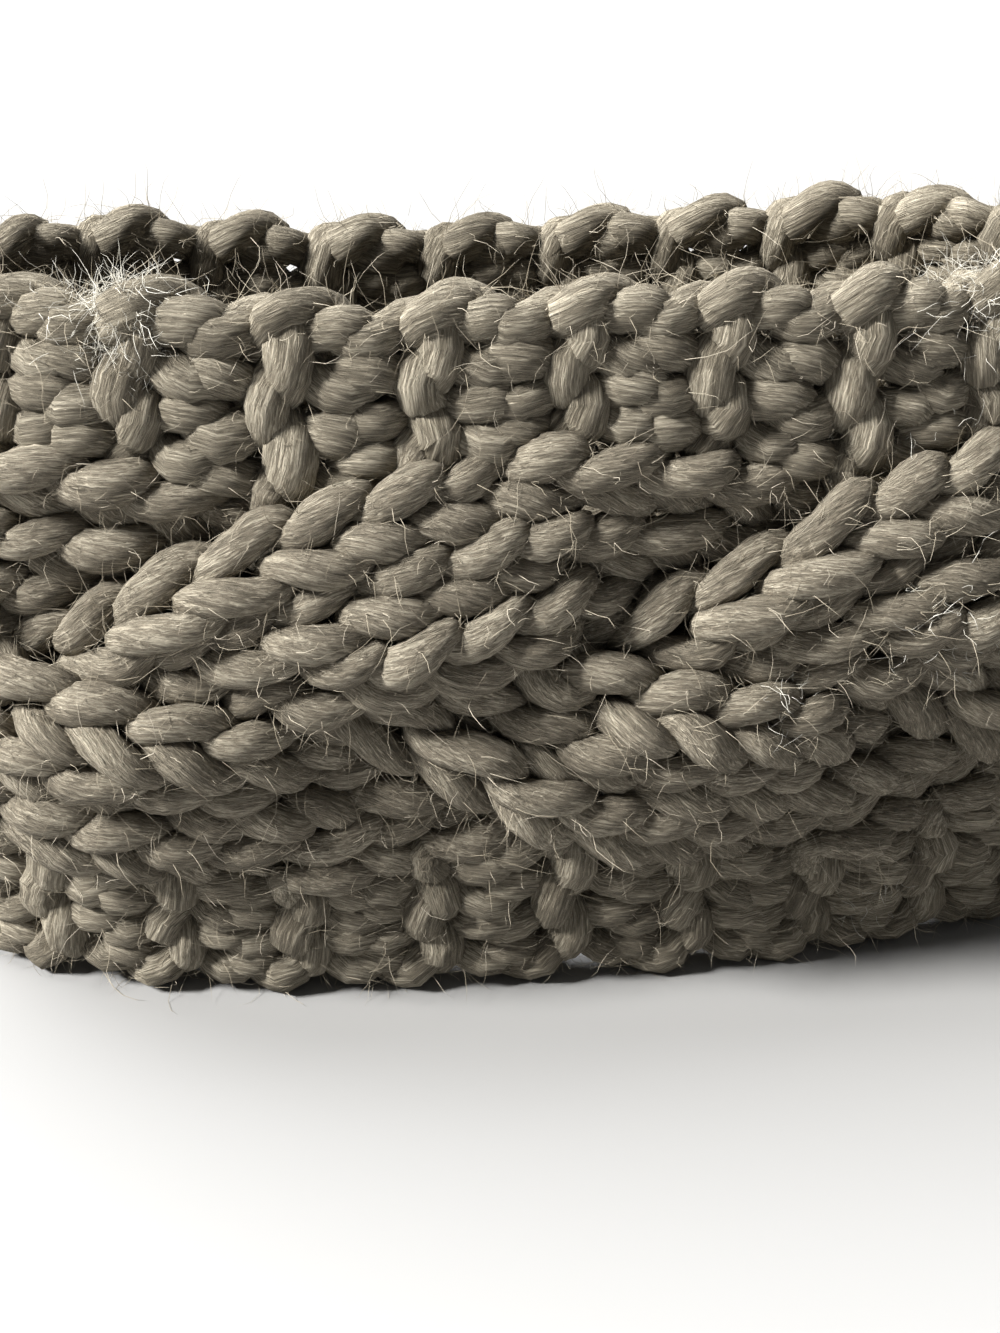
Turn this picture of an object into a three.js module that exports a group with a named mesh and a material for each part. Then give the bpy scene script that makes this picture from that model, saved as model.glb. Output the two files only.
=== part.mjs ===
// A chunky knitted ear warmer headband, standing on its lower edge as an open oval loop.
// It is knitted sideways: the rows run across the band and follow each other round the loop.
// Two garter stitch borders hold a plait of three stockinette strands that cross over each other.
// Millimetres, +Z up. The origin is the middle of the footprint, and the front faces -Y.

import * as THREE from 'three';

// Gauge of the knitting
const ROW_PITCH = 9.75; // one row, along the loop
const BORDER_STITCH = 10.65; // one garter stitch, across the band where a border is narrowest
const STRAND_STITCH = 9; // one stockinette stitch, across a strand

// Counts of the pattern
const BORDER_STITCHES = 2;
const STRAND_STITCHES = 3;
const REPEAT_ROWS = 8; // rows from one crossing beside the upper border to the next
const PLAIT_CYCLES = 2; // visits that each strand pays to each border on its way round
const STRANDS = 3;

// Thickness of the knitting
const STRAND_THICKNESS = 8.8;
const STRAND_EDGE = 1.96; // thickness of a strand's two blunt sides
const BORDER_THICKNESS = 8.6;
const RIDGE_RELIEF = 1.3; // how far a garter ridge stands out over the furrow beside it
const RIM_SCALLOP = 1.6; // how far the upper rim draws back between two ridges
const WALE_FURROW = 1.1; // depth of the furrow between two columns of stitches
const SEAT_GAP = 0.3; // clearance between neighbouring pieces

// Shape of the plait
const SWING_SHARE = 0.7; // swing of a strand up or down the band, over the strand's width
const TILT_TURN = 3; // how sharply the tilt of the strands turns over at a crossing

// Shape of the loop
const OVAL_RATIO = 0.41; // depth of the oval over its width
const OVAL_FULLNESS = 0.28; // swell of the long sides towards the ends, 0 for a plain ellipse
const TOP_DRAW_IN = 4; // how far the upper rim leans in
const BOTTOM_DRAW_IN = 7; // how far the lower rim tucks under

// Where the soft wall sinks: its place and spread as shares of the way round, counted
// from +X through the back, and its sag as a share of the band's height
const SLUMPS = [
  { place: 0.268, spread: 0.11, sag: 0.055 },
  { place: 0.7, spread: 0.05, sag: 0.012 },
  { place: 0.98, spread: 0.08, sag: 0.02 },
  { place: 0.49, spread: 0.09, sag: 0.03 },
];

// A border's section: across from its rim, 0, to the plait, 1, and through from the inner
// face, -1, to the outer one, 1
const BORDER_SECTION = [
  { across: 0, through: -0.5 },
  { across: 0, through: 0.5 },
  { across: 0.11, through: 0.94 },
  { across: 0.5, through: 1 },
  { across: 0.89, through: 0.94 },
  { across: 1, through: 0.45 },
  { across: 1, through: -0.45 },
  { across: 0.89, through: -0.94 },
  { across: 0.5, through: -1 },
  { across: 0.11, through: -0.94 },
];
const STATIONS_PER_ROW = 2;

const cycleRows = STRANDS * REPEAT_ROWS;
const rows = cycleRows * PLAIT_CYCLES;
const stations = rows * STATIONS_PER_ROW;
const loopLength = rows * ROW_PITCH;

const strandWidth = STRAND_STITCHES * STRAND_STITCH;
const strandSwing = SWING_SHARE * strandWidth;
const borderHeight = BORDER_STITCHES * BORDER_STITCH;
const plaitHeight = 2 * strandSwing + strandWidth + 2 * SEAT_GAP;
const bandHeight = 2 * borderHeight + plaitHeight;

// Two strands that cross are 60 degrees short of their highest and lowest lift
const crossingLift = STRAND_THICKNESS / 2 + SEAT_GAP;
const strandLift = crossingLift / Math.sin(Math.PI / 3);

// The middle line of the wall, seen from above
class FlattenedOval extends THREE.Curve {
  constructor(halfWidth) {
    super();
    this.halfWidth = halfWidth;
    this.arcLengthDivisions = 720;
  }

  getPoint(t, target = new THREE.Vector3()) {
    const angle = 2 * Math.PI * t;
    const swell = 1 + OVAL_FULLNESS * Math.cos(angle) ** 2;
    return target.set(
      this.halfWidth * Math.cos(angle),
      this.halfWidth * OVAL_RATIO * swell * Math.sin(angle),
      0,
    );
  }
}

const oval = new FlattenedOval(loopLength / new FlattenedOval(1).getLength());

// Distance from one place of a closed span to another, the short way round
function wrapped(distance, span) {
  return distance - span * Math.round(distance / span);
}

// Share of its height that the wall loses at a place on the way round
function sagAt(turn) {
  return SLUMPS.reduce((total, { place, spread, sag }) => {
    const x = wrapped(turn - place, 1) / spread;
    return total + sag * Math.exp(-x * x);
  }, 0);
}

// How far the wall pulls in at a height: nothing halfway up, and most at the two rims
function drawInAt(height) {
  const x = (2 * height) / bandHeight - 1;
  return (x > 0 ? TOP_DRAW_IN : BOTTOM_DRAW_IN) * x * x;
}

// Carries a point of the flat knitting to the loop, from its row, its height across the band
// and its distance outwards from the middle of the wall
function onLoop(row, height, outward) {
  const turn = row / rows;
  const middle = oval.getPointAt(turn);
  const along = oval.getTangentAt(turn);
  const offset = outward - drawInAt(height);
  return new THREE.Vector3(
    middle.x + offset * along.y,
    middle.y - offset * along.x,
    height * (1 - sagAt(turn)),
  );
}

// Sweeps a section round the loop into one closed ring. The section gives its corners at a
// row as { height, outward }, from the lower rim up the outer face.
function ringAlongRows(sectionAt) {
  const points = [];
  for (let station = 0; station < stations; station += 1) {
    const row = station / STATIONS_PER_ROW;
    points.push(sectionAt(row).map(({ height, outward }) => onLoop(row, height, outward)));
  }
  const sides = points[0].length;
  const index = [];
  for (let station = 0; station < stations; station += 1) {
    const next = (station + 1) % stations;
    for (let side = 0; side < sides; side += 1) {
      const beside = (side + 1) % sides;
      const corner = station * sides + side;
      const ahead = next * sides + side;
      const across = next * sides + beside;
      const above = station * sides + beside;
      index.push(corner, ahead, across, corner, across, above);
    }
  }
  const geometry = new THREE.BufferGeometry().setFromPoints(points.flat());
  geometry.setIndex(index);
  geometry.computeVertexNormals();
  return geometry;
}

// Where a strand runs at a row: up or down from the middle of the plait, and out from the
// middle of the wall. It goes over the strand that it meets on its way to a border, and
// under the one that it meets on its way back.
function strandPath(strand, row) {
  const angle = (2 * Math.PI * (row - strand * REPEAT_ROWS)) / cycleRows + Math.PI / 6;
  return { rise: strandSwing * Math.sin(angle), lift: strandLift * Math.sin(2 * angle) };
}

// Where all the strands run at a row
function strandPaths(row) {
  return Array.from({ length: STRANDS }, (_, strand) => strandPath(strand, row));
}

// How far the strands tilt at a row, from -1 to 1. Below 0 each strand laps over the one
// under it, and above 0 it laps behind, so the tilt turns over at each crossing.
function tiltAt(row) {
  const wave = Math.sin((2 * Math.PI * row) / REPEAT_ROWS);
  return -THREE.MathUtils.clamp(TILT_TURN * wave, -1, 1);
}

// The slope that a pair of lapping strands needs at a row to stay clear of each other
function slopeNeeded(above, below, row) {
  const distance = above.rise - below.rise;
  const tilt = tiltAt(row);
  if (distance >= strandWidth || Math.abs(tilt) < 1) {
    return 0;
  }
  const lap = Math.sqrt(1 - (distance / strandWidth) ** 2);
  const lifted = tilt * (below.lift - above.lift);
  return (STRAND_THICKNESS * lap + SEAT_GAP - lifted) / distance;
}

// The strands' slope at full tilt, the least one that keeps every pair clear
function clearSlope() {
  let slope = 0;
  for (let station = 0; station < REPEAT_ROWS * STATIONS_PER_ROW; station += 1) {
    const row = station / STATIONS_PER_ROW;
    const [top, middle, bottom] = strandPaths(row).sort((a, b) => b.rise - a.rise);
    slope = Math.max(slope, slopeNeeded(top, middle, row), slopeNeeded(middle, bottom, row));
  }
  return slope;
}

// A strand's section, inside an ellipse so that strands can roll over each other, with a
// crest on each column of stitches and a furrow between two columns on either face
function strandSection() {
  const halfWidth = strandWidth / 2;
  const halfThickness = STRAND_THICKNESS / 2;
  const sideReach = Math.sqrt(1 - (STRAND_EDGE / STRAND_THICKNESS) ** 2);
  const steps = 2 * STRAND_STITCHES;
  const face = [];
  for (let step = 0; step <= steps; step += 1) {
    const atSide = step === 0 || step === steps;
    const isFurrow = step % 2 === 0 && !atSide;
    const across = atSide ? sideReach * Math.sign(step - 1) : (2 * step) / steps - 1;
    const onEllipse = halfThickness * Math.sqrt(1 - across * across);
    face.push({ across: across * halfWidth, through: onEllipse - (isFurrow ? WALE_FURROW : 0) });
  }
  const innerFace = face.map(({ across, through }) => ({ across, through: -through })).reverse();
  return [...face, ...innerFace];
}

// One strand of the plait, three columns of stitches wide
function plaitStrand(strand, fullSlope) {
  const section = strandSection();
  return ringAlongRows((row) => {
    const { rise, lift } = strandPath(strand, row);
    const slope = fullSlope * tiltAt(row);
    return section.map(({ across, through }) => ({
      height: bandHeight / 2 + rise + across,
      outward: lift + slope * across + through,
    }));
  });
}

// How far the plait reaches up from the middle of the band at a row
function plaitReach(row) {
  const highest = Math.max(...strandPaths(row).map(({ rise }) => rise));
  return highest + strandWidth / 2 + SEAT_GAP;
}

// How much of a ridge stands at a row, from 0 to 1. Garter stitch has a ridge on every second
// row of its outer face, and on the rows between on its inner face.
function ridgeAt(row, face) {
  return 0.5 + 0.5 * face * Math.cos(Math.PI * row);
}

// A border's corners at a row, as height from its rim and distance outwards
function borderSection(row, height) {
  return BORDER_SECTION.map(({ across, through }) => {
    const relief = RIDGE_RELIEF * (ridgeAt(row, Math.sign(through)) - 0.5);
    return {
      height: across * height,
      outward: through * (BORDER_THICKNESS / 2 + relief),
    };
  });
}

// The garter border at the foot of the band, whose rim lies flat on the ground
function lowerBorder() {
  return ringAlongRows((row) =>
    borderSection(row, bandHeight / 2 - plaitReach(row + REPEAT_ROWS / 2)),
  );
}

// The garter border at the top of the band, whose rim draws back between its ridges
function upperBorder() {
  return ringAlongRows((row) => {
    const scallop = RIM_SCALLOP * (1 - ridgeAt(row, 1));
    const height = bandHeight / 2 - plaitReach(row) - scallop;
    return borderSection(row, height)
      .map((corner) => ({ ...corner, height: bandHeight - scallop - corner.height }))
      .reverse();
  });
}

// Heathered wool, a little darker in the borders, where the stitches lie close
function wool(red, green, blue) {
  return new THREE.MeshStandardMaterial({
    color: new THREE.Color().setRGB(red, green, blue, THREE.SRGBColorSpace),
    roughness: 0.95,
    metalness: 0,
  });
}

// A named piece of the headband
function piece(name, geometry, material) {
  const mesh = new THREE.Mesh(geometry, material);
  mesh.name = name;
  return mesh;
}

const headband = new THREE.Group();
headband.add(piece('lower_border', lowerBorder(), wool(0.6, 0.56, 0.48)));
headband.add(piece('upper_border', upperBorder(), wool(0.62, 0.58, 0.5)));
const fullSlope = clearSlope();
for (let strand = 0; strand < STRANDS; strand += 1) {
  const shape = plaitStrand(strand, fullSlope);
  headband.add(piece(`plait_strand_${strand + 1}`, shape, wool(0.65, 0.61, 0.53)));
}

export default headband;
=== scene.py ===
"""A chunky knitted ear warmer headband, knitted stitch by stitch from one length of yarn.

Yarn is laid through every stitch of a flat, endless strip, settles there by contact, and is then
carried onto the oval loop. Sizes of the knitting are in millimetres, and meshes are in metres.
"""

import logging
import math
from dataclasses import dataclass, field
from enum import Enum

import bpy
import numpy as np
from mathutils import Matrix, Vector
from mathutils.kdtree import KDTree


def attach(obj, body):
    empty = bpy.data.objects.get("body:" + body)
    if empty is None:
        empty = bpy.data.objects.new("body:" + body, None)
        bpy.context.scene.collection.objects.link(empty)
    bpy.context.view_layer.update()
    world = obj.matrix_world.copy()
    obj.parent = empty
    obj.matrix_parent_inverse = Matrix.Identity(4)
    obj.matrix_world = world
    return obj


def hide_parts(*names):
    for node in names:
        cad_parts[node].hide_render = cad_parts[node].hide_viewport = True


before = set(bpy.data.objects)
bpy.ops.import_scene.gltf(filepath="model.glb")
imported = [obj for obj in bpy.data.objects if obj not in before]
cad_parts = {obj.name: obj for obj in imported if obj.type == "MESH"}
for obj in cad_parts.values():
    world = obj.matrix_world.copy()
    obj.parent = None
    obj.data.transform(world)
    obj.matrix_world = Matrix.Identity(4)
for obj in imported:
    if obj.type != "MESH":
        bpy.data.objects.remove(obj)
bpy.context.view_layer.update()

MILLIMETRE = 0.001
FIBRE_SEED = 100
LINT_SEED = 200
LOG = logging.getLogger("headband")


class Piece(Enum):
    """The five knitted pieces, by the CAD node that each one stands for."""

    LOWER_BORDER = "lower_border"
    UPPER_BORDER = "upper_border"
    STRAND_1 = "plait_strand_1"
    STRAND_2 = "plait_strand_2"
    STRAND_3 = "plait_strand_3"

    @property
    def is_border(self) -> bool:
        """Whether the piece is one of the two garter stitch borders."""
        return self in (Piece.LOWER_BORDER, Piece.UPPER_BORDER)


PIECES = list(Piece)
STRAND_PIECES = [piece for piece in PIECES if not piece.is_border]


def unit(vectors: np.ndarray) -> np.ndarray:
    """The vectors at unit length."""
    return vectors / np.linalg.norm(vectors, axis=-1, keepdims=True)


def eased(share: np.ndarray) -> np.ndarray:
    """Shares from 0 to 1, changed so that they start and end softly."""
    return share * share * (3 - 2 * share)


def circle(sides: int) -> tuple[np.ndarray, np.ndarray]:
    """The cosines and sines of a ring's corners."""
    angles = 2 * np.pi * np.arange(sides) / sides
    return np.cos(angles), np.sin(angles)


def put(name: str, data: bpy.types.ID) -> bpy.types.Object:
    """Puts an object in the scene.

    Args:
        name: Name of the object.
        data: Its mesh, light or camera.

    Returns:
        The object.
    """
    thing = bpy.data.objects.new(name, data)
    bpy.context.scene.collection.objects.link(thing)
    return thing


@dataclass(frozen=True)
class Gauge:
    """Counts and sizes of the knitting, in millimetres."""

    row: float = 9.75
    border_stitch: float = 10.65
    strand_stitch: float = 9.0
    border_stitches: int = 2
    strand_stitches: int = 3
    repeat_rows: int = 8
    cycles: int = 2
    strand_thickness: float = 8.8
    seat_gap: float = 0.3
    swing_share: float = 0.7
    tilt_turn: float = 3.0
    full_slope: float = 0.21

    @property
    def strands(self) -> int:
        """Number of strands in the plait."""
        return len(STRAND_PIECES)

    @property
    def cycle_rows(self) -> int:
        """Rows that a strand takes to come back to where it was."""
        return self.strands * self.repeat_rows

    @property
    def rows(self) -> int:
        """Rows round the whole loop."""
        return self.cycle_rows * self.cycles

    @property
    def length(self) -> float:
        """Length round the loop."""
        return self.rows * self.row

    @property
    def strand_width(self) -> float:
        """Width of a strand."""
        return self.strand_stitches * self.strand_stitch

    @property
    def swing(self) -> float:
        """How far a strand swings up or down from the middle of the plait."""
        return self.swing_share * self.strand_width

    @property
    def height(self) -> float:
        """Height of the band."""
        plait = 2 * self.swing + self.strand_width + 2 * self.seat_gap
        return 2 * self.border_stitches * self.border_stitch + plait

    @property
    def lift(self) -> float:
        """How far a strand lifts out of the wall, or sinks into it."""
        return (self.strand_thickness / 2 + self.seat_gap) / math.sin(math.pi / 3)


@dataclass
class Plait:
    """Where the three strands run in the flat knitting."""

    gauge: Gauge

    def rise(self, strand: int, row: np.ndarray) -> np.ndarray:
        """Height of a strand over the middle of the plait, at places along it in rows."""
        return self.gauge.swing * np.sin(self._angle(strand, row))

    def lift(self, strand: int, row: np.ndarray) -> np.ndarray:
        """Distance of a strand outwards from the middle of the wall."""
        return self.gauge.lift * np.sin(2 * self._angle(strand, row))

    def slope(self, row: np.ndarray) -> np.ndarray:
        """How steeply the strands tilt outwards, to lap over each other like shingles."""
        wave = np.sin(2 * np.pi * row / self.gauge.repeat_rows)
        return -self.gauge.full_slope * np.clip(self.gauge.tilt_turn * wave, -1, 1)

    def reach(self, row: float) -> float:
        """How far the plait reaches up from the middle. Down, it is that of half a repeat on."""
        highest = max(float(self.rise(strand, row)) for strand in range(self.gauge.strands))
        return highest + self.gauge.strand_width / 2 + self.gauge.seat_gap

    def _angle(self, strand: int, row: np.ndarray) -> np.ndarray:
        """Phase of a strand's swing at some places along the knitting."""
        rows_on = row - strand * self.gauge.repeat_rows
        return 2 * np.pi * rows_on / self.gauge.cycle_rows + np.pi / 6


@dataclass(frozen=True)
class Slump:
    """A stretch of the soft wall that has sunk."""

    place: float
    spread: float
    sag: float


@dataclass
class Wall:
    """The oval loop that the flat knitting is carried onto."""

    gauge: Gauge
    ratio: float = 0.41
    fullness: float = 0.28
    top_draw_in: float = 4.0
    bottom_draw_in: float = 7.0
    slumps: tuple[Slump, ...] = (
        Slump(0.268, 0.11, 0.055),
        Slump(0.7, 0.05, 0.012),
        Slump(0.98, 0.08, 0.02),
        Slump(0.49, 0.09, 0.03),
    )
    table_steps: int = 4096
    angles: np.ndarray = field(init=False)
    shares: np.ndarray = field(init=False)
    half_width: float = field(init=False)

    def __post_init__(self) -> None:
        """Measures the oval, so that a share of the way round gives a place on it."""
        self.angles = np.linspace(0, 2 * np.pi, self.table_steps + 1)
        self.half_width = 1.0
        corners = self._oval(self.angles)
        lengths = np.linalg.norm(np.diff(corners, axis=0), axis=1)
        self.shares = np.concatenate([[0], np.cumsum(lengths)]) / lengths.sum()
        self.half_width = self.gauge.length / lengths.sum()

    def place(self, points: np.ndarray) -> np.ndarray:
        """Carries points of the flat knitting onto the loop.

        Args:
            points: Rows of distance along, height, and distance outwards, in millimetres.

        Returns:
            Rows of X, Y and Z, in millimetres.
        """
        turn = points[:, 0] / self.gauge.length
        angle = np.interp(np.mod(turn, 1), self.shares, self.angles)
        middle = self._oval(angle)
        along = self._oval_tangent(angle)
        height = points[:, 1]
        offset = points[:, 2] - self._draw_in(height)
        return np.stack(
            [
                middle[:, 0] + offset * along[:, 1],
                middle[:, 1] - offset * along[:, 0],
                height * (1 - self._sag(turn)),
            ],
            axis=1,
        )

    def _oval(self, angle: np.ndarray) -> np.ndarray:
        """Places on the wall's middle line, seen from above, at some angles."""
        swell = 1 + self.fullness * np.cos(angle) ** 2
        depth = self.ratio * swell * np.sin(angle)
        return self.half_width * np.stack([np.cos(angle), depth], axis=1)

    def _oval_tangent(self, angle: np.ndarray) -> np.ndarray:
        """Unit directions along the wall's middle line, at some angles."""
        sine, cosine = np.sin(angle), np.cos(angle)
        swell = 1 + self.fullness * cosine**2
        turned = swell * cosine - 2 * self.fullness * cosine * sine**2
        return unit(np.stack([-sine, self.ratio * turned], axis=1))

    def _draw_in(self, height: np.ndarray) -> np.ndarray:
        """How far the wall pulls in at some heights, most at its two rims."""
        x = 2 * height / self.gauge.height - 1
        return np.where(x > 0, self.top_draw_in, self.bottom_draw_in) * x**2

    def _sag(self, turn: np.ndarray) -> np.ndarray:
        """Share of its height that the wall loses at some places on the way round."""
        total = np.zeros_like(turn)
        for slump in self.slumps:
            away = turn - slump.place
            away = (away - np.round(away)) / slump.spread
            total += slump.sag * np.exp(-away * away)
        return total


@dataclass
class Yarn:
    """One endless length of yarn, as points in the flat knitting.

    Attributes:
        points: Rows of distance along, height, and distance outwards, in millimetres.
        pieces: The piece that each point belongs to, as its place in PIECES.
        stitches: The stitch that each point belongs to, counted from 0.
        legs: 1 halfway up a stitch's legs, and -1 at its head and its feet.
    """

    points: np.ndarray
    pieces: np.ndarray
    stitches: np.ndarray
    legs: np.ndarray

    @property
    def in_border(self) -> np.ndarray:
        """Which points belong to a border."""
        return np.array([piece.is_border for piece in PIECES])[self.pieces]


@dataclass
class StitchPlan:
    """Lays the yarn through every stitch of the flat knitting, row after row."""

    gauge: Gauge
    plait: Plait
    stitch_points: int = 20
    turn_points: int = 5
    rim: float = 2.6
    overlap: float = 0.22
    strand_loop: float = 0.74
    border_loop: float = 0.68
    strand_depth: float = 2.4
    border_depth: float = 3.8
    bulge: float = 0.6
    crossings: tuple[float, ...] = (0.0, 0.177, 0.323, 0.5, 0.677, 0.823, 1.0)

    def lay(self) -> Yarn:
        """Lays all the rows.

        Returns:
            The yarn, before it settles.
        """
        stitch_legs = -np.cos(4 * np.pi * self._shares())
        turn_legs = np.full(self.turn_points, -1.0)
        points, pieces, stitches, legs = [], [], [], []
        for row in range(self.gauge.rows):
            upwards = row % 2 == 0
            columns = self._row(row)
            if not upwards:
                columns = [(column[::-1], piece) for column, piece in columns[::-1]]
            turn = self._turn(row, upwards, columns[-1][0][-1])
            numbers = row * len(columns) + np.arange(len(columns))
            points += [part for part, _ in [*columns, turn]]
            pieces += [PIECES.index(piece) for _, piece in [*columns, turn]]
            stitches += [*numbers, numbers[-1]]
            legs += [stitch_legs] * len(columns) + [turn_legs]
        sizes = [len(part) for part in points]
        pieces_of, stitches_of = np.repeat(pieces, sizes), np.repeat(stitches, sizes)
        return Yarn(np.concatenate(points), pieces_of, stitches_of, np.concatenate(legs))

    def _row(self, row: int) -> list[tuple[np.ndarray, Piece]]:
        """Lays the stitches of a row, from the lower rim to the upper one.

        Args:
            row: The row's number.

        Returns:
            The points of each stitch and the piece that it belongs to.
        """
        middle = self.gauge.height / 2
        ends_up = middle - self.plait.reach(row + 0.5)
        ends_down = middle - self.plait.reach(row + 0.5 + self.gauge.repeat_rows / 2)
        columns = self._border(row, self.rim, ends_down, Piece.LOWER_BORDER)
        rises = [float(self.plait.rise(s, row + 0.5)) for s in range(self.gauge.strands)]
        for strand in np.argsort(rises):
            columns += self._strand(row, int(strand))
        top = self.gauge.height
        return columns + self._border(row, top - ends_up, top - self.rim, Piece.UPPER_BORDER)

    def _border(
        self, row: int, start: float, end: float, piece: Piece
    ) -> list[tuple[np.ndarray, Piece]]:
        """Lays a border's garter stitches in a row.

        Args:
            row: The row's number. Rows are drawn to the outer and the inner face by turns.
            start: Height where the stitches start.
            end: Height where they end.
            piece: The border.

        Returns:
            The points of each stitch and the border.
        """
        face = 1 if row % 2 else -1
        side, ahead = self._loop(self.border_loop)
        along = (row + 0.5 + ahead) * self.gauge.row
        depth = self.border_depth * self._depth(face, -face)
        stitch = (end - start) / self.gauge.border_stitches
        columns = []
        for number in range(self.gauge.border_stitches):
            height = start + stitch * (number + 0.5 + side)
            columns.append((np.stack([along, height, depth], 1), piece))
        return columns

    def _strand(self, row: int, strand: int) -> list[tuple[np.ndarray, Piece]]:
        """Lays a strand's stockinette stitches in a row.

        Args:
            row: The row's number.
            strand: The strand's number, from 0.

        Returns:
            The points of each stitch and the strand's piece.
        """
        side, ahead = self._loop(self.strand_loop)
        place = row + 0.5 + ahead
        depth = self.strand_depth * self._depth(1, 1)
        columns = []
        for number in range(self.gauge.strand_stitches):
            across = self.gauge.strand_stitch * (
                number - (self.gauge.strand_stitches - 1) / 2 + side
            )
            height = self.gauge.height / 2 + self.plait.rise(strand, place) + across
            lift = self.plait.lift(strand, place) + self.plait.slope(place) * across
            points = np.stack([place * self.gauge.row, height, lift + depth], 1)
            columns.append((points, STRAND_PIECES[strand]))
        return columns

    def _loop(self, size: float) -> tuple[np.ndarray, np.ndarray]:
        """The outline of one stitch, across it in stitches and ahead in rows."""
        t = self._shares()
        return t - 0.5 + self.overlap * np.sin(4 * np.pi * t), -size * np.cos(2 * np.pi * t)

    def _depth(self, own: int, following: int) -> np.ndarray:
        """The depth of one stitch's yarn, from -1 on the inner face to 1 on the outer one.

        Args:
            own: The face that this row is drawn to, 1 or -1.
            following: The face that the next row is drawn to.

        Returns:
            The depths along the stitch.
        """
        depths = np.array([-own, own, following, -following, following, own, -own])
        number = np.searchsorted(self.crossings, self._shares()) - 1
        start, end = np.array(self.crossings)[number], np.array(self.crossings)[number + 1]
        share = eased((self._shares() - start) / (end - start))
        return depths[number] * (1 - share) + depths[number + 1] * share

    def _shares(self) -> np.ndarray:
        """Places along one stitch's yarn, from 0 to 1."""
        return (np.arange(self.stitch_points) + 0.5) / self.stitch_points

    def _turn(self, row: int, upwards: bool, last: np.ndarray) -> tuple[np.ndarray, Piece]:
        """Turns the yarn round at a rim, to the row that follows.

        Args:
            row: The row's number.
            upwards: Whether the row ran to the upper rim.
            last: The row's last point.

        Returns:
            The points of the turn and the border that it belongs to.
        """
        t = (np.arange(self.turn_points) + 0.5) / self.turn_points
        _, ahead = self._loop(self.border_loop)
        start = last[0]
        end = (row + 1.5 + ahead[0 if upwards else -1]) * self.gauge.row
        along = start + (end - start) * t
        piece = Piece.UPPER_BORDER if upwards else Piece.LOWER_BORDER
        edge = self.gauge.height - self.rim if upwards else self.rim
        inwards = -1 if upwards else 1
        height = edge + inwards * (self.bulge * self.rim * (1 - np.sin(np.pi * t)))
        return np.stack([along, height, last[2] * np.cos(np.pi * t)], 1), piece


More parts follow.
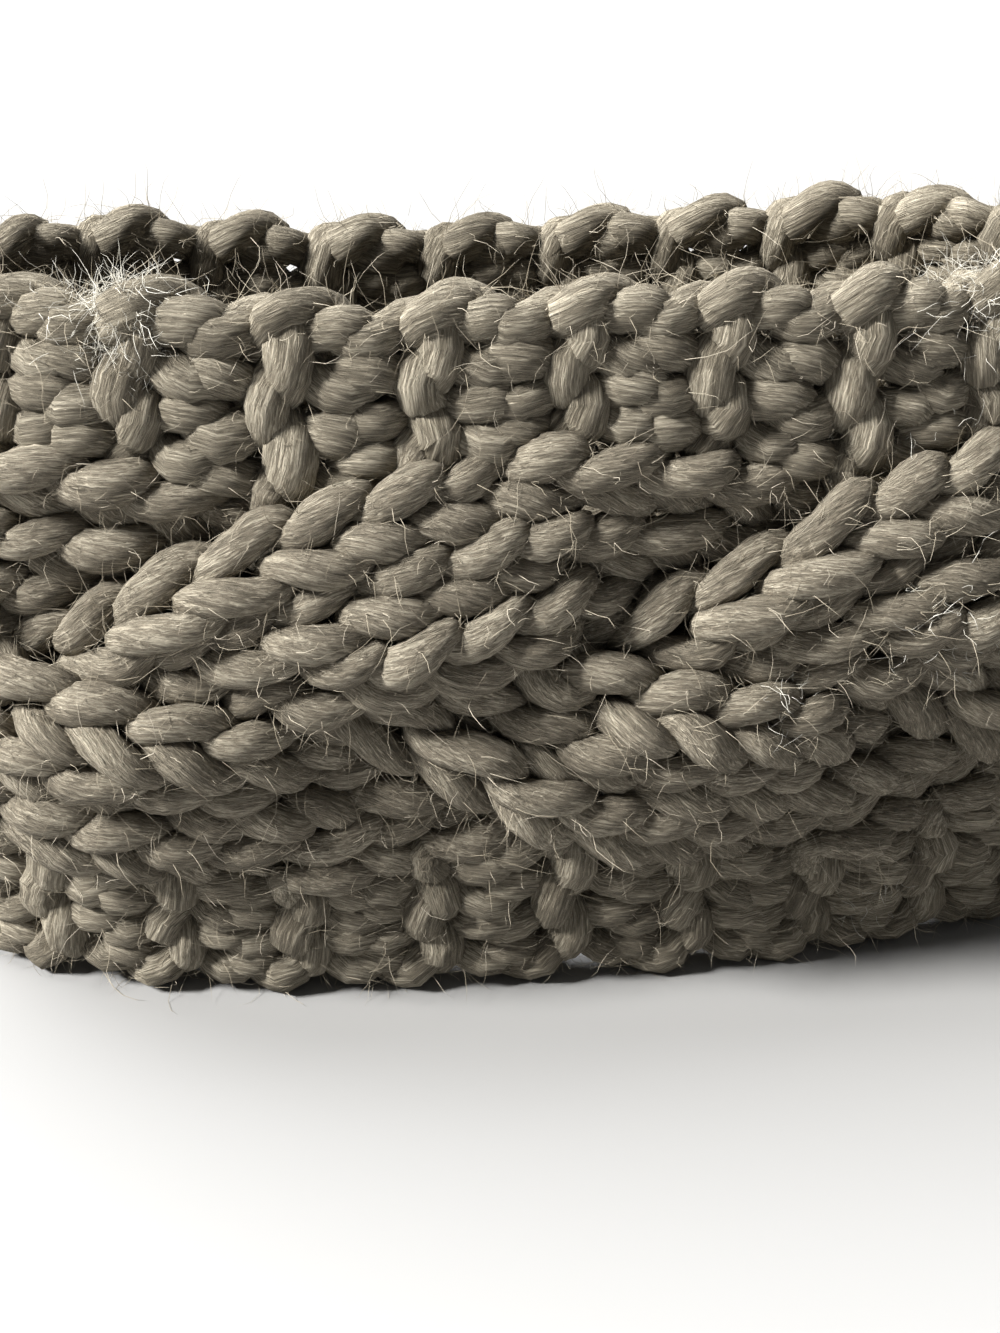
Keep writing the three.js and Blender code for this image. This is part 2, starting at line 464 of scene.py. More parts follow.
@dataclass
class Settling:
    """Lets the laid yarn settle: it keeps its length, bends softly and doesn't cross itself."""

    gauge: Gauge
    rounds: int = 200
    strand_thickness: float = 4.5
    strand_slack: float = 0.95
    border_thickness: float = 3.6
    search_margin: float = 1.6
    search_every: int = 8
    near_points: int = 3
    strand_hold: float = 0.02
    border_hold: float = 0.3
    hold_fade: float = 0.7
    bend: float = 0.1
    push: float = 0.35
    stretch: float = 0.9
    unevenness: float = 0.05
    floor: float = 2.75
    ceiling_margin: float = 1.5
    window: int = 21
    eased_rounds: int = 2
    ease: float = 0.25
    least_distance: float = 1e-3
    seed: int = 7

    def settle(self, yarn: Yarn) -> None:
        """Moves the yarn's points to where they come to rest.

        Args:
            yarn: The yarn, whose points are changed.
        """
        points = yarn.points
        count = len(points)
        laid = points.copy()
        rest = self._rest_lengths(yarn)
        hold = np.where(yarn.in_border, self.border_hold, self.strand_hold)[:, None]
        thickness = np.where(yarn.in_border, self.border_thickness, self.strand_thickness)
        top = self.gauge.height - self.ceiling_margin
        halves = (np.arange(0, count - 1, 2), np.arange(1, count, 2))
        for number in range(self.rounds):
            if number % self.search_every == 0:
                first, second = self._near_pairs(points)
            fade = 1 - self.hold_fade * number / self.rounds
            points += hold * fade * (laid - points)
            points += self.bend * 0.5 * self._pull(points)
            touch = (thickness[first] + thickness[second]) / 2
            self._push_apart(points, first, second, touch)
            for half in halves:
                self._keep_length(points, half, (half + 1) % count, rest)
            points[:, 1] = np.clip(points[:, 1], self.floor, top)
        for _ in range(self.eased_rounds):
            points += self.ease * self._pull(points)

    def _rest_lengths(self, yarn: Yarn) -> np.ndarray:
        """The length that each step of the yarn keeps, a little more or less in each stitch.

        Args:
            yarn: The yarn.

        Returns:
            The lengths, in millimetres.
        """
        steps = self._wrapped(np.roll(yarn.points, -1, axis=0) - yarn.points)
        uneven = np.random.default_rng(self.seed).standard_normal(yarn.stitches.max() + 1)
        factors = 1 + self.unevenness * uneven
        laid = np.linalg.norm(steps, axis=1)
        in_strand = self.strand_slack * self._evened(laid)
        lengths = np.where(yarn.in_border, laid, in_strand)
        return lengths * self._evened(factors[yarn.stitches])

    def _pull(self, points: np.ndarray) -> np.ndarray:
        """How far each point is from its two neighbours along the yarn, added together."""
        ahead = self._wrapped(np.roll(points, -1, axis=0) - points)
        behind = self._wrapped(np.roll(points, 1, axis=0) - points)
        return ahead + behind

    def _evened(self, values: np.ndarray) -> np.ndarray:
        """Mean of the values round each place of an endless row."""
        half = self.window // 2
        longer = np.concatenate([values[-half:], values, values[:half]])
        return np.convolve(longer, np.full(self.window, 1 / self.window), "valid")

    def _wrapped(self, steps: np.ndarray) -> np.ndarray:
        """Takes steps the short way round the loop."""
        steps[:, 0] -= self.gauge.length * np.round(steps[:, 0] / self.gauge.length)
        return steps

    def _near_pairs(self, points: np.ndarray) -> tuple[np.ndarray, np.ndarray]:
        """Finds pairs of points that may touch.

        Args:
            points: The yarn's points.

        Returns:
            The first and the second point of each pair.
        """
        count = len(points)
        reach = self.strand_thickness + self.search_margin
        along = np.mod(points[:, 0], self.gauge.length)
        order = np.argsort(along, kind="stable")
        along, sorted_points = along[order], points[order]
        firsts, seconds = [], []
        for offset in range(1, count):
            other = (np.arange(count) + offset) % count
            gap = along[other] - along
            gap[count - offset :] += self.gauge.length
            near = gap < reach
            if not near.any():
                break
            away = np.abs(sorted_points[other, 1:] - sorted_points[:, 1:])
            near &= (away < reach).all(axis=1)
            firsts.append(order[near])
            seconds.append(order[other[near]])
        first, second = np.concatenate(firsts), np.concatenate(seconds)
        apart = np.abs(first - second)
        apart = np.minimum(apart, count - apart) > self.near_points
        return first[apart], second[apart]

    def _push_apart(
        self, points: np.ndarray, first: np.ndarray, second: np.ndarray, touch: np.ndarray
    ) -> None:
        """Pushes points of the yarn apart where they are nearer than its thickness.

        Args:
            points: The yarn's points, which are changed.
            first: The first point of each pair.
            second: The second point of each pair.
            touch: The distance at which each pair touches.
        """
        away = self._wrapped(points[first] - points[second])
        distance = np.linalg.norm(away, axis=1)
        touching = distance < touch
        first, second, away = first[touching], second[touching], away[touching]
        distance = np.maximum(distance[touching], self.least_distance)
        strength = 0.5 * self.push * (touch[touching] - distance) / distance
        for axis in range(3):
            part = strength * away[:, axis]
            points[:, axis] += np.bincount(first, part, len(points))
            points[:, axis] -= np.bincount(second, part, len(points))

    def _keep_length(
        self, points: np.ndarray, start: np.ndarray, end: np.ndarray, rest: np.ndarray
    ) -> None:
        """Draws steps of the yarn back to the length that they keep.

        Args:
            points: The yarn's points, which are changed.
            start: The point that each step starts from.
            end: The point that it ends at.
            rest: The length that each of the yarn's steps keeps.
        """
        step = self._wrapped(points[end] - points[start])
        length = np.maximum(np.linalg.norm(step, axis=1), self.least_distance)
        share = 0.5 * self.stretch * (length - rest[start]) / length
        points[start] += share[:, None] * step
        points[end] -= share[:, None] * step


class Noise:
    """Smooth random values along a line, the same in each run."""

    def __init__(self, seed: int, spacing: float, length: float) -> None:
        """Draws the random values.

        Args:
            seed: Seed of the random numbers.
            spacing: Distance between two values.
            length: Length of the line.
        """
        count = max(4, int(length / spacing) + 2)
        self.places = np.arange(count) * spacing
        self.values = np.random.default_rng(seed).standard_normal(count)

    def at(self, places: np.ndarray) -> np.ndarray:
        """Values at some places on the line, eased from one to the next."""
        index = np.clip(np.searchsorted(self.places, places) - 1, 0, len(self.places) - 2)
        share = eased((places - self.places[index]) / (self.places[1] - self.places[0]))
        return self.values[index] * (1 - share) + self.values[index + 1] * share


@dataclass
class YarnBody:
    """The settled yarn on the loop, evenly sampled, with a frame at each sample.

    Attributes:
        centres: Middle of the yarn at each sample, in millimetres.
        sides: A direction square to the yarn at each sample.
        others: The direction square to both.
        radii: Radius of the yarn at each sample, in millimetres.
        along: Distance along the yarn, in millimetres.
        pieces: Each sample's piece, as its place in PIECES.
        tree: The samples, sorted to find the yarn beside a place.
    """

    centres: np.ndarray
    sides: np.ndarray
    others: np.ndarray
    radii: np.ndarray
    along: np.ndarray
    pieces: np.ndarray
    tree: KDTree = field(init=False)

    def __post_init__(self) -> None:
        """Sorts the samples by their places."""
        self.tree = KDTree(len(self.centres))
        for number, centre in enumerate(self.centres):
            self.tree.insert(centre, number)
        self.tree.balance()

    def of_piece(self, piece: Piece) -> np.ndarray:
        """The samples that belong to a piece."""
        return np.flatnonzero(self.pieces == PIECES.index(piece))

    def gap(self, place: np.ndarray) -> float:
        """Distance from a place to the middle of the nearest yarn."""
        return self.tree.find(place)[2]

    def runs(self, piece: Piece) -> list[np.ndarray]:
        """Stretches of the yarn that belong to a piece, each up to the first sample beyond it.

        Args:
            piece: The piece.

        Returns:
            The samples of each stretch.
        """
        count = len(self.pieces)
        cuts = [0, *(np.flatnonzero(np.diff(self.pieces)) + 1), count]
        return [
            np.arange(start, end + 1) % count
            for start, end in zip(cuts, cuts[1:])
            if self.pieces[start] == PIECES.index(piece)
        ]


@dataclass
class Spinning:
    """Spins the settled yarn's line into a soft, uneven strand of wool."""

    wall: Wall
    fine_steps: int = 4
    spacing: float = 1.6
    strand_radius: float = 2.4
    strand_plumpness: float = 0.28
    border_radius: float = 3.15
    border_plumpness: float = -0.05
    slow_lump: float = 0.06
    slow_spacing: float = 16.0
    slow_seed: int = 11
    quick_lump: float = 0.04
    quick_spacing: float = 4.5
    quick_seed: int = 12
    least_lump: float = -0.08
    most_lump: float = 0.15
    twist: float = 0.11

    def spin(self, yarn: Yarn) -> YarnBody:
        """Carries the yarn onto the loop and gives it its frames and thickness.

        Args:
            yarn: The settled yarn.

        Returns:
            The yarn's body.
        """
        plump = np.where(yarn.in_border, self.border_plumpness, self.strand_plumpness)
        radii = np.where(yarn.in_border, self.border_radius, self.strand_radius)
        radii = radii * (1 + plump * yarn.legs)
        placed = self.wall.place(yarn.points)
        centres, radii, pieces = self._sampled(placed, radii, yarn.pieces)
        steps = np.linalg.norm(np.roll(centres, -1, axis=0) - centres, axis=1)
        along = np.concatenate([[0], np.cumsum(steps)[:-1]])
        length = along[-1] + steps[-1]
        sides, others = self._frames(centres, along)
        lumps = self.slow_lump * Noise(self.slow_seed, self.slow_spacing, length).at(along)
        lumps += self.quick_lump * Noise(self.quick_seed, self.quick_spacing, length).at(along)
        radii = radii * (1 + np.clip(lumps, self.least_lump, self.most_lump))
        return YarnBody(centres, sides, others, radii, along, pieces)

    def _sampled(
        self, points: np.ndarray, radii: np.ndarray, pieces: np.ndarray
    ) -> tuple[np.ndarray, np.ndarray, np.ndarray]:
        """Draws a smooth line through the points and samples it evenly.

        Args:
            points: The yarn's points on the loop.
            radii: The yarn's radius at each point.
            pieces: The piece of each point.

        Returns:
            The samples, their radii and their pieces.
        """
        before, after, beyond = (np.roll(points, shift, axis=0) for shift in (1, -1, -2))
        slope = after - before
        bow = 2 * before - 5 * points + 4 * after - beyond
        turn = 3 * points - before - 3 * after + beyond
        shares = np.arange(self.fine_steps) / self.fine_steps
        fine = [0.5 * (2 * points + slope * t + bow * t**2 + turn * t**3) for t in shares]
        line = np.stack(fine, axis=1).reshape(-1, 3)
        closed = np.concatenate([line, line[:1]])
        steps = np.linalg.norm(np.diff(closed, axis=0), axis=1)
        reached = np.concatenate([[0], np.cumsum(steps)])
        count = int(round(reached[-1] / self.spacing))
        wanted = np.arange(count) * reached[-1] / count
        samples = np.stack([np.interp(wanted, reached, closed[:, k]) for k in range(3)], axis=1)
        last = np.minimum(np.searchsorted(reached, wanted, side="right") - 1, len(line) - 1)
        thickness = np.interp(wanted, reached[: -1 : self.fine_steps], radii)
        return samples, thickness, np.repeat(pieces, self.fine_steps)[last]

    def _frames(self, centres: np.ndarray, along: np.ndarray) -> tuple[np.ndarray, np.ndarray]:
        """Carries a frame along the yarn without turning it, then gives it the yarn's twist.

        Args:
            centres: The yarn's samples.
            along: Distance along the yarn.

        Returns:
            Two directions square to the yarn at each sample.
        """
        tangents = unit(np.roll(centres, -1, axis=0) - np.roll(centres, 1, axis=0))
        sides = np.empty_like(centres)
        side = Vector((0.0, 0.0, 1.0))
        for number, step in enumerate(tangents):
            tangent = Vector(step)
            side = (side - tangent * side.dot(tangent)).normalized()
            sides[number] = side
        others = np.cross(tangents, sides)
        turn = self.twist * along[:, None]
        turned = np.cos(turn) * sides + np.sin(turn) * others
        return turned, np.cross(tangents, turned)


class MeshMaker:
    """Gathers corners and faces, and makes one mesh object of them."""

    def __init__(self, name: str) -> None:
        """Starts an empty mesh.

        Args:
            name: Name of the object.
        """
        self.name = name
        self.corners: list[np.ndarray] = []
        self.quads: list[np.ndarray] = []
        self.triangles: list[np.ndarray] = [np.empty((0, 3), dtype=int)]
        self.caps: list[np.ndarray] = []
        self.grain: list[np.ndarray] = []
        self.count = 0

    def add_tube(self, rings: np.ndarray, grain: np.ndarray) -> None:
        """Adds a closed tube.

        Args:
            rings: Corners of each ring along the tube, in millimetres.
            grain: The wool's own coordinates at each corner, along and across the yarn.
        """
        steps, sides, _ = rings.shape
        corner = np.arange(steps * sides).reshape(steps, sides) + self.count
        beside = np.roll(corner, -1, axis=1)
        quads = np.stack([corner[:-1], beside[:-1], beside[1:], corner[1:]], axis=-1)
        self.quads.append(quads.reshape(-1, 4))
        self.caps += [corner[0][::-1], corner[-1]]
        self.corners.append(rings.reshape(-1, 3) * MILLIMETRE)
        self.grain.append(grain.reshape(-1, 3))
        self.count += steps * sides

    def add_spikes(self, rings: np.ndarray, tips: np.ndarray, grain: np.ndarray) -> None:
        """Adds many closed spikes, each a short tube that runs out to a point.

        Args:
            rings: Corners of each ring of each spike, in millimetres.
            tips: The point of each spike.
            grain: The wool's own coordinates, one place for each spike.
        """
        count, steps, sides, _ = rings.shape
        each = steps * sides + 1
        start = self.count + each * np.arange(count)[:, None, None]
        corner = start + np.arange(steps * sides).reshape(1, steps, sides)
        beside = np.roll(corner, -1, axis=2)
        quads = np.stack([corner[:, :-1], beside[:, :-1], beside[:, 1:], corner[:, 1:]], axis=-1)
        self.quads.append(quads.reshape(-1, 4))
        tip = np.broadcast_to(start[:, 0] + each - 1, corner[:, -1].shape)
        points = np.stack([corner[:, -1], beside[:, -1], tip], axis=-1)
        self.triangles += [points.reshape(-1, 3), corner[:, 0, ::-1]]
        corners = np.concatenate([rings.reshape(count, -1, 3), tips[:, None]], axis=1)
        self.corners.append(corners.reshape(-1, 3) * MILLIMETRE)
        self.grain.append(np.repeat(grain, each, axis=0))
        self.count += count * each

    def finish(self) -> bpy.types.Object:
        """Makes the object.

        Returns:
            The mesh object, smooth along its tubes and sharp round their ends.
        """
        mesh = bpy.data.meshes.new(self.name)
        corners = np.concatenate(self.corners)
        quads, triangles = np.concatenate(self.quads), np.concatenate(self.triangles)
        loops = np.concatenate([quads.ravel(), triangles.ravel(), *self.caps])
        sizes = [4] * len(quads) + [3] * len(triangles) + [len(cap) for cap in self.caps]
        totals = np.array(sizes, dtype=np.int32)
        mesh.vertices.add(len(corners))
        mesh.vertices.foreach_set("co", corners.astype(np.float32).ravel())
        mesh.loops.add(len(loops))
        mesh.loops.foreach_set("vertex_index", loops.astype(np.int32))
        mesh.polygons.add(len(totals))
        mesh.polygons.foreach_set(
            "loop_start", np.concatenate([[0], np.cumsum(totals)[:-1]]).astype(np.int32)
        )
        mesh.polygons.foreach_set("use_smooth", totals <= 4)
        grain = mesh.attributes.new("grain", "FLOAT_VECTOR", "POINT")
        grain.data.foreach_set("vector", np.concatenate(self.grain).astype(np.float32).ravel())
        mesh.update(calc_edges=True)
        mesh.validate()
        return put(self.name, mesh)


class Nodes:
    """A material's node tree, with short ways to add and link nodes."""

    def __init__(self, name: str) -> None:
        """Starts a material with an empty tree.

        Args:
            name: Name of the material.
        """
        self.material = bpy.data.materials.new(name)
        self.material.use_nodes = True
        self.tree = self.material.node_tree
        self.tree.nodes.clear()

    def add(self, kind: str, settings: dict | None = None, **inputs: object) -> bpy.types.Node:
        """Adds a node.

        Args:
            kind: The node's type, without its ShaderNode prefix.
            settings: Properties of the node, by name.
            inputs: Values or output sockets for its inputs, by name, with _ for a space.

        Returns:
            The node.
        """
        node = self.tree.nodes.new("ShaderNode" + kind)
        for key, value in (settings or {}).items():
            setattr(node, key, value)
        for key, value in inputs.items():
            self.set(node, key.replace("_", " "), value)
        return node

    def set(self, node: bpy.types.Node, key: str | int, value: object) -> None:
        """Sets or links one input of a node.

        Args:
            node: The node.
            key: The input's name or number.
            value: A value, or an output socket to link.
        """
        if isinstance(value, bpy.types.NodeSocket):
            self.tree.links.new(value, node.inputs[key])
        else:
            node.inputs[key].default_value = value

    def work_out(self, operation: str, *values: object) -> bpy.types.NodeSocket:
        """Works a value out of up to three others.

        Args:
            operation: What is done with them, in Blender's words.
            values: Numbers or output sockets.

        Returns:
            The value's socket.
        """
        node = self.add("Math", {"operation": operation})
        for number, value in enumerate(values):
            self.set(node, number, value)
        return node.outputs[0]

    def ramp(
        self, factor: bpy.types.NodeSocket, stops: list[tuple[float, tuple[float, ...]]]
    ) -> bpy.types.NodeSocket:
        """Adds a colour ramp.

        Args:
            factor: What drives the ramp.
            stops: Places and linear colours.

        Returns:
            The ramp's colour.
        """
        node = self.add("ValToRGB", Fac=factor)
        while len(node.color_ramp.elements) < len(stops):
            node.color_ramp.elements.new(0.5)
        for element, (place, colour) in zip(node.color_ramp.elements, stops):
            element.position = place
            element.color = (*colour, 1.0)
        return node.outputs["Color"]


def linear(red: int, green: int, blue: int) -> tuple[float, float, float]:
    """A screen colour, 0 to 255, as the linear colour that a shader takes."""
    shares = (red / 255, green / 255, blue / 255)
    return tuple(s / 12.92 if s <= 0.04045 else ((s + 0.055) / 1.055) ** 2.4 for s in shares)


@dataclass(frozen=True)
class Streaks:
    """Noise that is drawn out along the yarn.

    Attributes:
        along: How fine it is along the yarn.
        across: How fine it is across the yarn.
        waviness: How much it wanders.
        detail: How much smaller detail it has.
        share: How much of it goes into the colour.
    """

    along: float
    across: float
    waviness: float
    detail: float
    share: float


@dataclass(frozen=True)
class WoolFinish:
    """Loosely spun heathered wool, with its fibres streaked along the yarn."""

    name: str
    dark: tuple[int, int, int]
    middle: tuple[int, int, int]
    light: tuple[int, int, int]
    slot: str = "border_wool"
    bundles: Streaks = Streaks(0.22, 1.5, 0.8, 5.0, 0.35)
    fibres: Streaks = Streaks(0.55, 3.6, 1.0, 4.0, 0.45)
    drift: Streaks = Streaks(0.03, 0.12, 0.0, 2.0, 0.2)
    noise_roughness: float = 0.65
    stops: tuple[float, float, float] = (0.41, 0.5, 0.59)
    relief: float = 0.0016
    roughness: float = 0.92
    gloss: float = 0.2
    sheen: float = 0.5
    sheen_roughness: float = 0.55

    def material(self) -> bpy.types.Material:
        """Builds the material.

        Returns:
            The material, which reads the mesh's grain attribute.
        """
        nodes = Nodes(self.name)
        grain = nodes.add("Attribute", {"attribute_name": "grain"}).outputs["Vector"]
        bundles = self._noise(nodes, grain, self.bundles)
        fibres = self._noise(nodes, grain, self.fibres)
        drift = self._noise(nodes, grain, self.drift)
        blend = nodes.work_out("MULTIPLY", drift, self.drift.share)
        blend = nodes.work_out("MULTIPLY_ADD", bundles, self.bundles.share, blend)
        blend = nodes.work_out("MULTIPLY_ADD", fibres, self.fibres.share, blend)
        colours = [linear(*colour) for colour in (self.dark, self.middle, self.light)]
        relief = nodes.work_out("ADD", bundles, fibres)
        bump = nodes.add("Bump", Strength=1.0, Distance=self.relief, Height=relief)
        shader = nodes.add(
            "BsdfPrincipled",
            Base_Color=nodes.ramp(blend, list(zip(self.stops, colours))),
            Roughness=self.roughness,
            Specular_IOR_Level=self.gloss,
            Sheen_Weight=self.sheen,
            Sheen_Roughness=self.sheen_roughness,
            Sheen_Tint=(*colours[-1], 1.0),
            Normal=bump.outputs["Normal"],
        )
        nodes.add("OutputMaterial", Surface=shader.outputs["BSDF"])
        return nodes.material

    def _noise(
        self, nodes: Nodes, grain: bpy.types.NodeSocket, streaks: Streaks
    ) -> bpy.types.NodeSocket:
        """Adds noise to the material.

        Args:
            nodes: The material's tree.
            grain: The wool's own coordinates, in millimetres.
            streaks: How the noise is drawn out.

        Returns:
            The noise, from 0 to 1.
        """
        scale = (streaks.along, streaks.across, streaks.across)
        noise = nodes.add(
            "TexNoise",
            Vector=nodes.add("Mapping", Vector=grain, Scale=scale).outputs["Vector"],
            Scale=1.0,
            Detail=streaks.detail,
            Roughness=self.noise_roughness,
            Distortion=streaks.waviness,
        )
        return noise.outputs["Fac"]


@dataclass
class KnittedPiece:
    """One knitted piece: the yarn of its stitches as closed tubes."""

    piece: Piece
    body: YarnBody
    finish: WoolFinish
    ring_sides: int = 10
    least_run: int = 3
    groove: float = 0.06
    groove_spacing: float = 7.0
    groove_seed: int = 40
    ground: float = 0.05

    def build(self) -> bpy.types.Object:
        """Builds and dresses the piece, in place of its CAD node.

        Returns:
            The mesh object.
        """
        maker = MeshMaker(self.piece.value + "_knitting")
        cosine, sine = circle(self.ring_sides)
        bundles = [
            Noise(self.groove_seed + corner, self.groove_spacing, self.body.along[-1])
            for corner in range(self.ring_sides)
        ]
        for run in self.body.runs(self.piece):
            if len(run) < self.least_run:
                continue
            uneven = np.stack([bundle.at(self.body.along[run]) for bundle in bundles], axis=1)
            radius = self.body.radii[run][:, None] * (1 + self.groove * uneven)
            across, beside = radius * cosine, radius * sine
            side, other = self.body.sides[run][:, None], self.body.others[run][:, None]
            out = side * across[:, :, None] + other * beside[:, :, None]
            rings = self.body.centres[run][:, None] + out
            rings[:, :, 2] = np.maximum(rings[:, :, 2], self.ground)
            along = np.broadcast_to(self.body.along[run][:, None], radius.shape)
            maker.add_tube(rings, np.stack([along, across, beside], -1))
        thing = maker.finish()
        thing.data.materials.append(self.finish.material())
        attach(thing, "root")
        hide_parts(self.piece.value)
        return thing


@dataclass(frozen=True)
class Growth:
    """How one kind of loose fibre grows out of the yarn, in millimetres.

    Attributes:
        joints: Straight steps in each fibre.
        shortest: Length of the shortest fibre.
        longest: Length of the longest one.
        thickness: Radius of a fibre at its root.
        rise: How steeply a fibre may leave the yarn.
        curl: How much it bends at each joint.
        per_millimetre: Fibres on each millimetre of yarn.
        rim_share: How many more of them the upper rim has.
    """

    joints: int
    shortest: float
    longest: float
    thickness: float
    rise: float
    curl: float
    per_millimetre: float = 0.0
    rim_share: float = 1.0


FUZZ = Growth(3, 2.5, 7.5, 0.042, rise=0.75, curl=0.85, per_millimetre=0.98, rim_share=1.6)
CURLS = Growth(4, 3.0, 12.0, 0.05, rise=2.0, curl=0.8, per_millimetre=0.27, rim_share=12.0)
LINT = Growth(4, 2.0, 8.0, 0.045, rise=1.2, curl=1.3)


@dataclass
class Halo:
    """The loose fibres that stand off one knitted piece."""

    name: str
    body: YarnBody
    own: np.ndarray
    finish: WoolFinish
    slot: str
    seed: int
    growths: tuple[Growth, ...] = (FUZZ, CURLS)
    rim_height: float = 97.0
    clearance: float = 2.6
    probe: float = 2.8
    tries: int = 6
    sides: int = 3
    length_bias: float = 1.6
    tip_share: float = 0.5
    least_rise: float = 0.35
    lean: float = 0.5
    wander: float = 0.8
    steep: float = 0.8
    grain_reach: float = 900.0
    ground: float = 0.1

    def build(self) -> bpy.types.Object:
        """Builds and dresses the fibres.

        Returns:
            The mesh object.
        """
        random = np.random.default_rng(self.seed)
        maker = MeshMaker(self.name)
        for growth in self.growths:
            lines = self._lines(growth, random)
            rings = self._rings(growth, lines[:, :-1])
            grain = random.uniform(0, self.grain_reach, (len(lines), 3))
            maker.add_spikes(rings, lines[:, -1], grain)
        thing = maker.finish()
        thing.data.materials.append(self.finish.material())
        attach(thing, "root")
        return thing

    def _lines(self, growth: Growth, random: np.random.Generator) -> np.ndarray:
        """Grows the fibres' middle lines, along the yarn and away from it.

        Args:
            growth: How the fibres grow.
            random: The random numbers.

        Returns:
            The points of each fibre, in millimetres.
        """
        place, out, along = self._roots(growth, random)
        count = len(place)
        length = growth.longest - growth.shortest
        length = growth.shortest + length * random.random(count) ** self.length_bias
        step = (length / growth.joints)[:, None]
        rise = random.uniform(self.least_rise, growth.rise, (count, 1))
        heading = unit(rise * out + along + self.lean * self._directions(random, count))
        bend = self._directions(random, count)
        line = [place]
        for _ in range(growth.joints):
            bend = unit(bend + self.wander * self._directions(random, count))
            inwards = np.minimum(np.sum(bend * out, axis=1, keepdims=True), 0)
            heading = unit(heading + growth.curl * (bend - inwards * out))
            place = place + heading * step
            line.append(place)
        lines = np.stack(line, axis=1)
        lines[:, :, 2] = np.maximum(lines[:, :, 2], self.ground)
        return lines

    def _roots(
        self, growth: Growth, random: np.random.Generator
    ) -> tuple[np.ndarray, np.ndarray, np.ndarray]:
        """Picks places on the open sides of the yarn.

        Args:
            growth: How the fibres grow.
            random: The random numbers.

        Returns:
            The places, the directions out of the yarn there, and those along it.
        """
        count = self._count(growth)
        tries = self.tries * count
        weights = self._weights(growth)
        sample = random.choice(self.own, tries, p=weights / weights.sum())
        angle = random.uniform(0, 2 * np.pi, (tries, 1))
        side, other = self.body.sides[sample], self.body.others[sample]
        out = side * np.cos(angle) + other * np.sin(angle)
        place = self.body.centres[sample] + out * self.body.radii[sample][:, None]
        probes = place + out * self.probe
        kept = [number for number, at in enumerate(probes) if self.body.gap(at) > self.clearance]
        kept = np.array(kept)[:count]
        way = np.where(random.random((len(kept), 1)) < 0.5, -1.0, 1.0)
        return place[kept], out[kept], way * np.cross(side, other)[kept]

    def _count(self, growth: Growth) -> int:
        """Number of fibres that grow in one way."""
        spacing = self.body.along[1] - self.body.along[0]
        return int(len(self.own) * spacing * growth.per_millimetre)

    def _weights(self, growth: Growth) -> np.ndarray:
        """How many fibres each sample of the yarn gets beside the others."""
        at_rim = self.body.centres[self.own, 2] > self.rim_height
        return np.where(at_rim, growth.rim_share, 1.0)

    def _rings(self, growth: Growth, lines: np.ndarray) -> np.ndarray:
        """Gives the fibres their thickness.

        Args:
            growth: How the fibres grow.
            lines: The points of each fibre, up to the last but one.

        Returns:
            The corners of each fibre's rings.
        """
        tangents = unit(np.gradient(lines, axis=1))
        upright = np.abs(tangents[:, :, 2:]) > self.steep
        helper = np.where(upright, [1.0, 0.0, 0.0], [0.0, 0.0, 1.0])
        side = unit(np.cross(tangents, helper))
        other = np.cross(tangents, side)
        radius = growth.thickness * np.linspace(1, self.tip_share, lines.shape[1])
        cosine, sine = circle(self.sides)
        around = side[:, :, None] * cosine[:, None] + other[:, :, None] * sine[:, None]
        return lines[:, :, None] + radius[None, :, None, None] * around

    def _directions(self, random: np.random.Generator, count: int) -> np.ndarray:
        """Random directions."""
        return unit(random.standard_normal((count, 3)))


@dataclass(frozen=True)
class Tuft:
    """A tuft of pale lint, with its place on the wool and its size in millimetres."""

    place: tuple[float, float, float]
    spread: float
    fibres: int


@dataclass
class Lint(Halo):
    """Tufts of pale lint that cling to the front of the headband."""

    growths: tuple[Growth, ...] = (LINT,)
    tufts: tuple[Tuft, ...] = (
        Tuft((-60.0, -35.0, 103.5), 5.5, 480),
        Tuft((57.0, -35.0, 103.0), 6.0, 360),
        Tuft((48.0, -37.0, 85.0), 3.0, 70),
        Tuft((54.0, -47.0, 61.0), 6.5, 130),
        Tuft((28.0, -47.0, 50.0), 3.0, 30),
        Tuft((48.0, -34.0, 12.0), 3.0, 40),
    )

    def _count(self, growth: Growth) -> int:
        """Number of fibres in all the tufts."""
        return sum(tuft.fibres for tuft in self.tufts)

    def _weights(self, growth: Growth) -> np.ndarray:
        """How many fibres each sample gets, most in the middle of each tuft."""
        total = np.zeros(len(self.own))
        for tuft in self.tufts:
            away = np.linalg.norm(self.body.centres[self.own] - tuft.place, axis=1)
            share = np.exp(-((away / tuft.spread) ** 2))
            total += tuft.fibres * share / share.sum()
        return total


@dataclass(frozen=True)
class Lamp:
    """A soft, even light.

    Attributes:
        name: Its name.
        towards: Direction from the headband to the light.
        spread: How wide it is, in degrees. A wider light throws a softer shadow.
        strength: How strong it is.
        colour: Its colour.
    """

    name: str
    towards: tuple[float, float, float]
    spread: float
    strength: float
    colour: tuple[float, float, float]


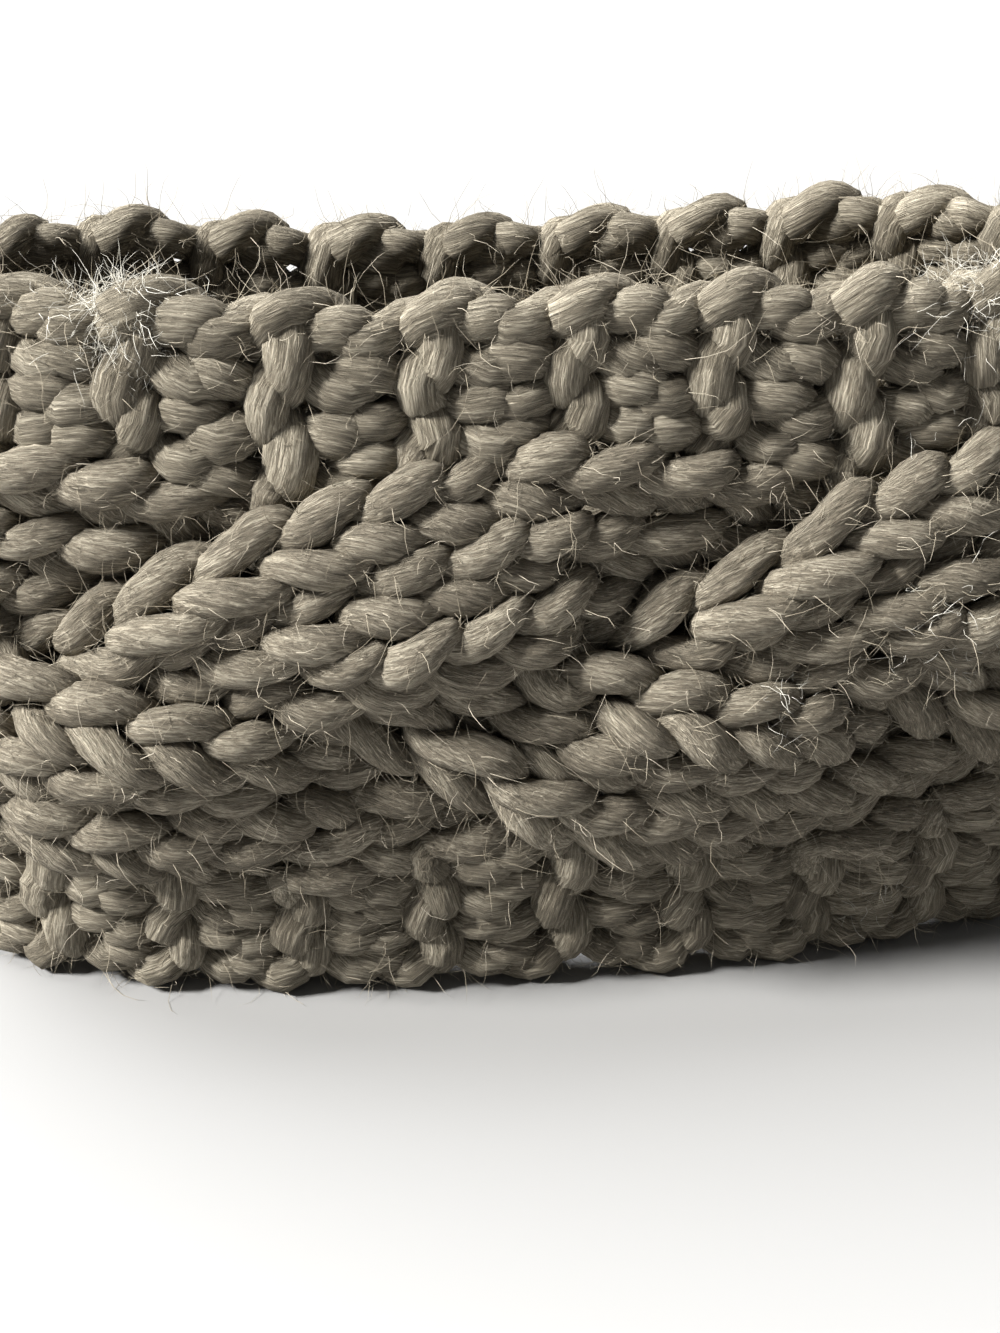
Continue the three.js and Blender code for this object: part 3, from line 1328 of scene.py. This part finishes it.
@dataclass
class Studio:
    """A pale floor, soft light and the camera."""

    lens: float = 49.8
    sensor_width: float = 36.0
    clip_start: float = 0.01
    distance: float = 0.2567
    elevation: float = 23.9
    pan: float = 7.4
    roll: float = 0.35
    target: tuple[float, float, float] = (-0.0099, -0.0407, 0.0546)
    lamps: tuple[Lamp, ...] = (
        Lamp("key_light", (-0.79, -0.16, 0.6), 14.0, 10.5, (1.0, 0.985, 0.955)),
        Lamp("rim_light", (-0.45, 0.4, 0.8), 50.0, 6.5, (1.0, 1.0, 1.0)),
    )
    air_colour: tuple[float, float, float] = (1.0, 0.99, 0.97)
    air_strength: float = 0.13
    floor_size: float = 30.0
    floor_shades: tuple[float, float] = (0.28, 0.3)
    floor_noise: float = 3.0
    floor_roughness: float = 0.9

    def build(self) -> None:
        """Builds the floor, the lights and the camera."""
        self._floor()
        self._air()
        for lamp in self.lamps:
            self._light(lamp)
        self._camera()

    def _floor(self) -> None:
        """Lays the floor."""
        mesh = bpy.data.meshes.new("studio_floor")
        half = self.floor_size / 2
        corners = [(-half, -half, 0), (half, -half, 0), (half, half, 0), (-half, half, 0)]
        mesh.from_pydata(corners, [], [(0, 1, 2, 3)])
        floor = put("studio_floor", mesh)
        nodes = Nodes("pale_floor")
        noise = nodes.add("TexNoise", Scale=self.floor_noise, Detail=2.0)
        darker, lighter = self.floor_shades
        stops = [(0.3, (darker,) * 3), (0.7, (lighter,) * 3)]
        colour = nodes.ramp(noise.outputs["Fac"], stops)
        shader = nodes.add("BsdfPrincipled", Base_Color=colour, Roughness=self.floor_roughness)
        nodes.add("OutputMaterial", Surface=shader.outputs["BSDF"])
        mesh.materials.append(nodes.material)

    def _air(self) -> None:
        """Lights the surroundings evenly."""
        world = bpy.data.worlds.new("studio_air")
        world.use_nodes = True
        background = world.node_tree.nodes["Background"]
        background.inputs["Color"].default_value = (*self.air_colour, 1.0)
        background.inputs["Strength"].default_value = self.air_strength
        bpy.context.scene.world = world

    def _light(self, lamp: Lamp) -> None:
        """Adds one light.

        Args:
            lamp: The light.
        """
        light = bpy.data.lights.new(lamp.name, "SUN")
        light.angle = math.radians(lamp.spread)
        light.energy = lamp.strength
        light.color = lamp.colour
        turned = Vector(lamp.towards).to_track_quat("Z", "Y")
        put(lamp.name, light).rotation_euler = turned.to_euler()

    def _camera(self) -> None:
        """Sets up the camera."""
        pan, tilt = math.radians(self.pan), math.radians(self.elevation)
        roll = math.radians(self.roll)
        forward = Vector(
            (math.sin(pan) * math.cos(tilt), math.cos(pan) * math.cos(tilt), -math.sin(tilt))
        )
        right = Vector((math.cos(pan), -math.sin(pan), 0))
        up = right.cross(forward)
        across = right * math.cos(roll) + up * math.sin(roll)
        upright = up * math.cos(roll) - right * math.sin(roll)
        camera = put("camera", bpy.data.cameras.new("camera"))
        camera.data.lens = self.lens
        camera.data.sensor_width = self.sensor_width
        camera.data.clip_start = self.clip_start
        turned = Matrix((across, upright, -forward)).transposed().to_4x4()
        place = Vector(self.target) - forward * self.distance
        camera.matrix_world = Matrix.Translation(place) @ turned
        bpy.context.scene.camera = camera
        bpy.context.scene.view_settings.view_transform = "Standard"


BORDER_WOOL = WoolFinish("border_wool_yarn", (66, 60, 49), (122, 114, 99), (196, 187, 168))
PLAIT_WOOL = WoolFinish(
    "plait_wool_yarn", (68, 62, 51), (125, 116, 101), (199, 190, 171), slot="plait_wool"
)
FIBRE_WOOL = WoolFinish("loose_fibre_wool", (98, 90, 76), (154, 145, 127), (206, 197, 180))
LINT_WOOL = WoolFinish("lint_wool", (190, 186, 172), (214, 211, 200), (232, 230, 222))


def report(thing: bpy.types.Object) -> None:
    """Says how many triangles a finished piece has."""
    triangles = sum(len(face.vertices) - 2 for face in thing.data.polygons)
    LOG.info("%s: %d triangles", thing.name, triangles)


def main() -> None:
    """Knits the headband, dresses it and sets up the studio."""
    logging.basicConfig(level=logging.INFO, format="%(name)s: %(message)s")
    gauge = Gauge()
    plait = Plait(gauge)
    yarn = StitchPlan(gauge, plait).lay()
    Settling(gauge).settle(yarn)
    body = Spinning(Wall(gauge)).spin(yarn)
    LOG.info("yarn: %d samples, %.1f m", len(body.centres), body.along[-1] * MILLIMETRE)
    for piece in PIECES:
        finish = BORDER_WOOL if piece.is_border else PLAIT_WOOL
        report(KnittedPiece(piece, body, finish).build())
        own = body.of_piece(piece)
        seed = FIBRE_SEED + PIECES.index(piece)
        halo = Halo(piece.value + "_fibres", body, own, FIBRE_WOOL, finish.slot, seed)
        report(halo.build())
    everywhere = np.arange(len(body.centres))
    lint = Lint("lint_tufts", body, everywhere, LINT_WOOL, LINT_WOOL.slot, LINT_SEED)
    report(lint.build())
    Studio().build()


if __name__ == "__main__":
    main()
